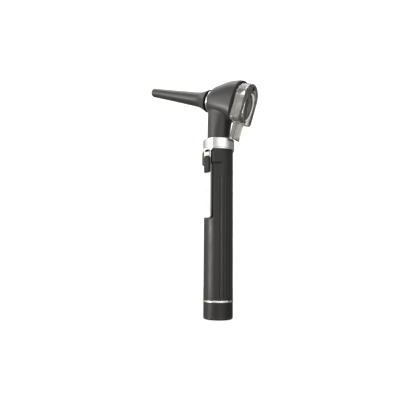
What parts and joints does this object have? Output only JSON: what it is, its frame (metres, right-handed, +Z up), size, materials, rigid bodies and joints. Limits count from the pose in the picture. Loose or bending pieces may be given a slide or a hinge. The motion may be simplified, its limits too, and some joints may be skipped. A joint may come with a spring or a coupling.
{
  "type": "otoscope",
  "caption": "Pocket otoscope: fluted battery handle with clip switch, tilted head, tapered ear speculum and swing-away magnifier.",
  "frame": {"origin": "centre of the tail cap's flat end, which the object stands on", "axes": "+Z up the handle axis, -X the side the speculum points to, +X the side of the lens; the head is symmetric about the XZ plane"},
  "size_m": [0.0815, 0.0224, 0.1619],
  "materials": {
    "grip_plastic": "fine satin, fluted",
    "head_plastic": "semi-gloss moulded",
    "spec_plastic": "satin moulded",
    "inner_plastic": "plain",
    "chrome": "polished plate",
    "switch_plastic": "ribbed, satin",
    "steel": "bright",
    "contact_brass": "plain",
    "sleeve_metal": "turned",
    "nose_metal": "black satin",
    "cell_steel": "plain sleeve",
    "lamp_glass": "clear",
    "filament": "wire",
    "fibre": "fused fibre",
    "gasket_rubber": "matt",
    "clear_acrylic": "clear moulded",
    "lens_glass": "polished"
  },
  "bodies": {
    "handle": {"barrel": "grip_plastic", "cheek_front": "grip_plastic", "cheek_rear": "grip_plastic", "contact_tube": "contact_brass", "contact_strip": "contact_brass", "cell_lower": "cell_steel", "cell_upper": "cell_steel", "collar": "chrome", "clip_ring": "chrome", "contact_carrier": "inner_plastic", "positive_contact": "contact_brass", "contact_spring": "steel"},
    "clip": {"pocket_clip": "chrome"},
    "switch": {"switch_slider": "switch_plastic", "slider_bar": "chrome", "slide_contact": "contact_brass"},
    "tail_trim": {"tail_ring": "chrome"},
    "tail": {"tail_cap": "grip_plastic", "tail_sleeve": "sleeve_metal", "battery_spring": "steel"},
    "coupling": {"coupling_ring": "steel"},
    "head": {"head_shell": "head_plastic", "head_socket": "sleeve_metal", "lamp_base": "contact_brass", "lamp_insulator": "inner_plastic", "lamp_pin": "contact_brass", "lamp_bulb": "lamp_glass", "lamp_filament": "filament", "guide_ferrule": "sleeve_metal", "light_guide": "fibre", "nose_cone": "nose_metal", "nose_tube": "sleeve_metal", "seat_ring": "chrome", "head_gasket": "gasket_rubber", "pivot_insert": "contact_brass", "pivot_washer": "steel", "pivot_screw": "steel"},
    "eyepiece": {"lens_frame": "clear_acrylic", "magnifier_lens": "lens_glass"},
    "ear_tip": {"speculum": "spec_plastic"}
  },
  "joints": [
    {"name": "clip_flex", "type": "hinge", "parent": "handle", "child": "clip", "pos_m": [-0.00269, -0.01005, 0.1075], "axis": [-0.9659, 0.2588, 0], "range_deg": [0, 6], "stiffness_Nm_per_rad": 1.8},
    {"name": "switch_slide", "type": "slide", "parent": "handle", "child": "switch", "axis": [0, 0, 1], "range_m": [0, 0.002]},
    {"name": "cap_travel", "type": "slide", "parent": "handle", "child": "tail_trim", "axis": [0, 0, 1], "range_m": [-0.008, 0]},
    {"name": "cap_turn", "type": "hinge", "parent": "tail_trim", "child": "tail", "pos_m": [0, 0, 0.006], "axis": [0, 0, 1], "range_deg": [-2304, 0]},
    {"name": "head_turn", "type": "hinge", "parent": "handle", "child": "coupling", "pos_m": [0, 0, 0.1145], "axis": [0, 0, 1], "continuous": true},
    {"name": "head_lift", "type": "slide", "parent": "coupling", "child": "head", "axis": [0, 0, 1], "range_m": [0, 0.015]},
    {"name": "lens_swing", "type": "hinge", "parent": "head", "child": "eyepiece", "pos_m": [0.02223, 0, 0.14827], "axis": [-0.9558, 0, 0.294], "range_deg": [-90, 90]},
    {"name": "speculum_pull", "type": "slide", "parent": "head", "child": "ear_tip", "axis": [-0.9558, 0, 0.294], "range_m": [0, 0.025]}
  ],
  "couplings": [
    {"joint": "cap_travel", "follows": "cap_turn", "m_per_rad": 0.00019894}
  ]
}
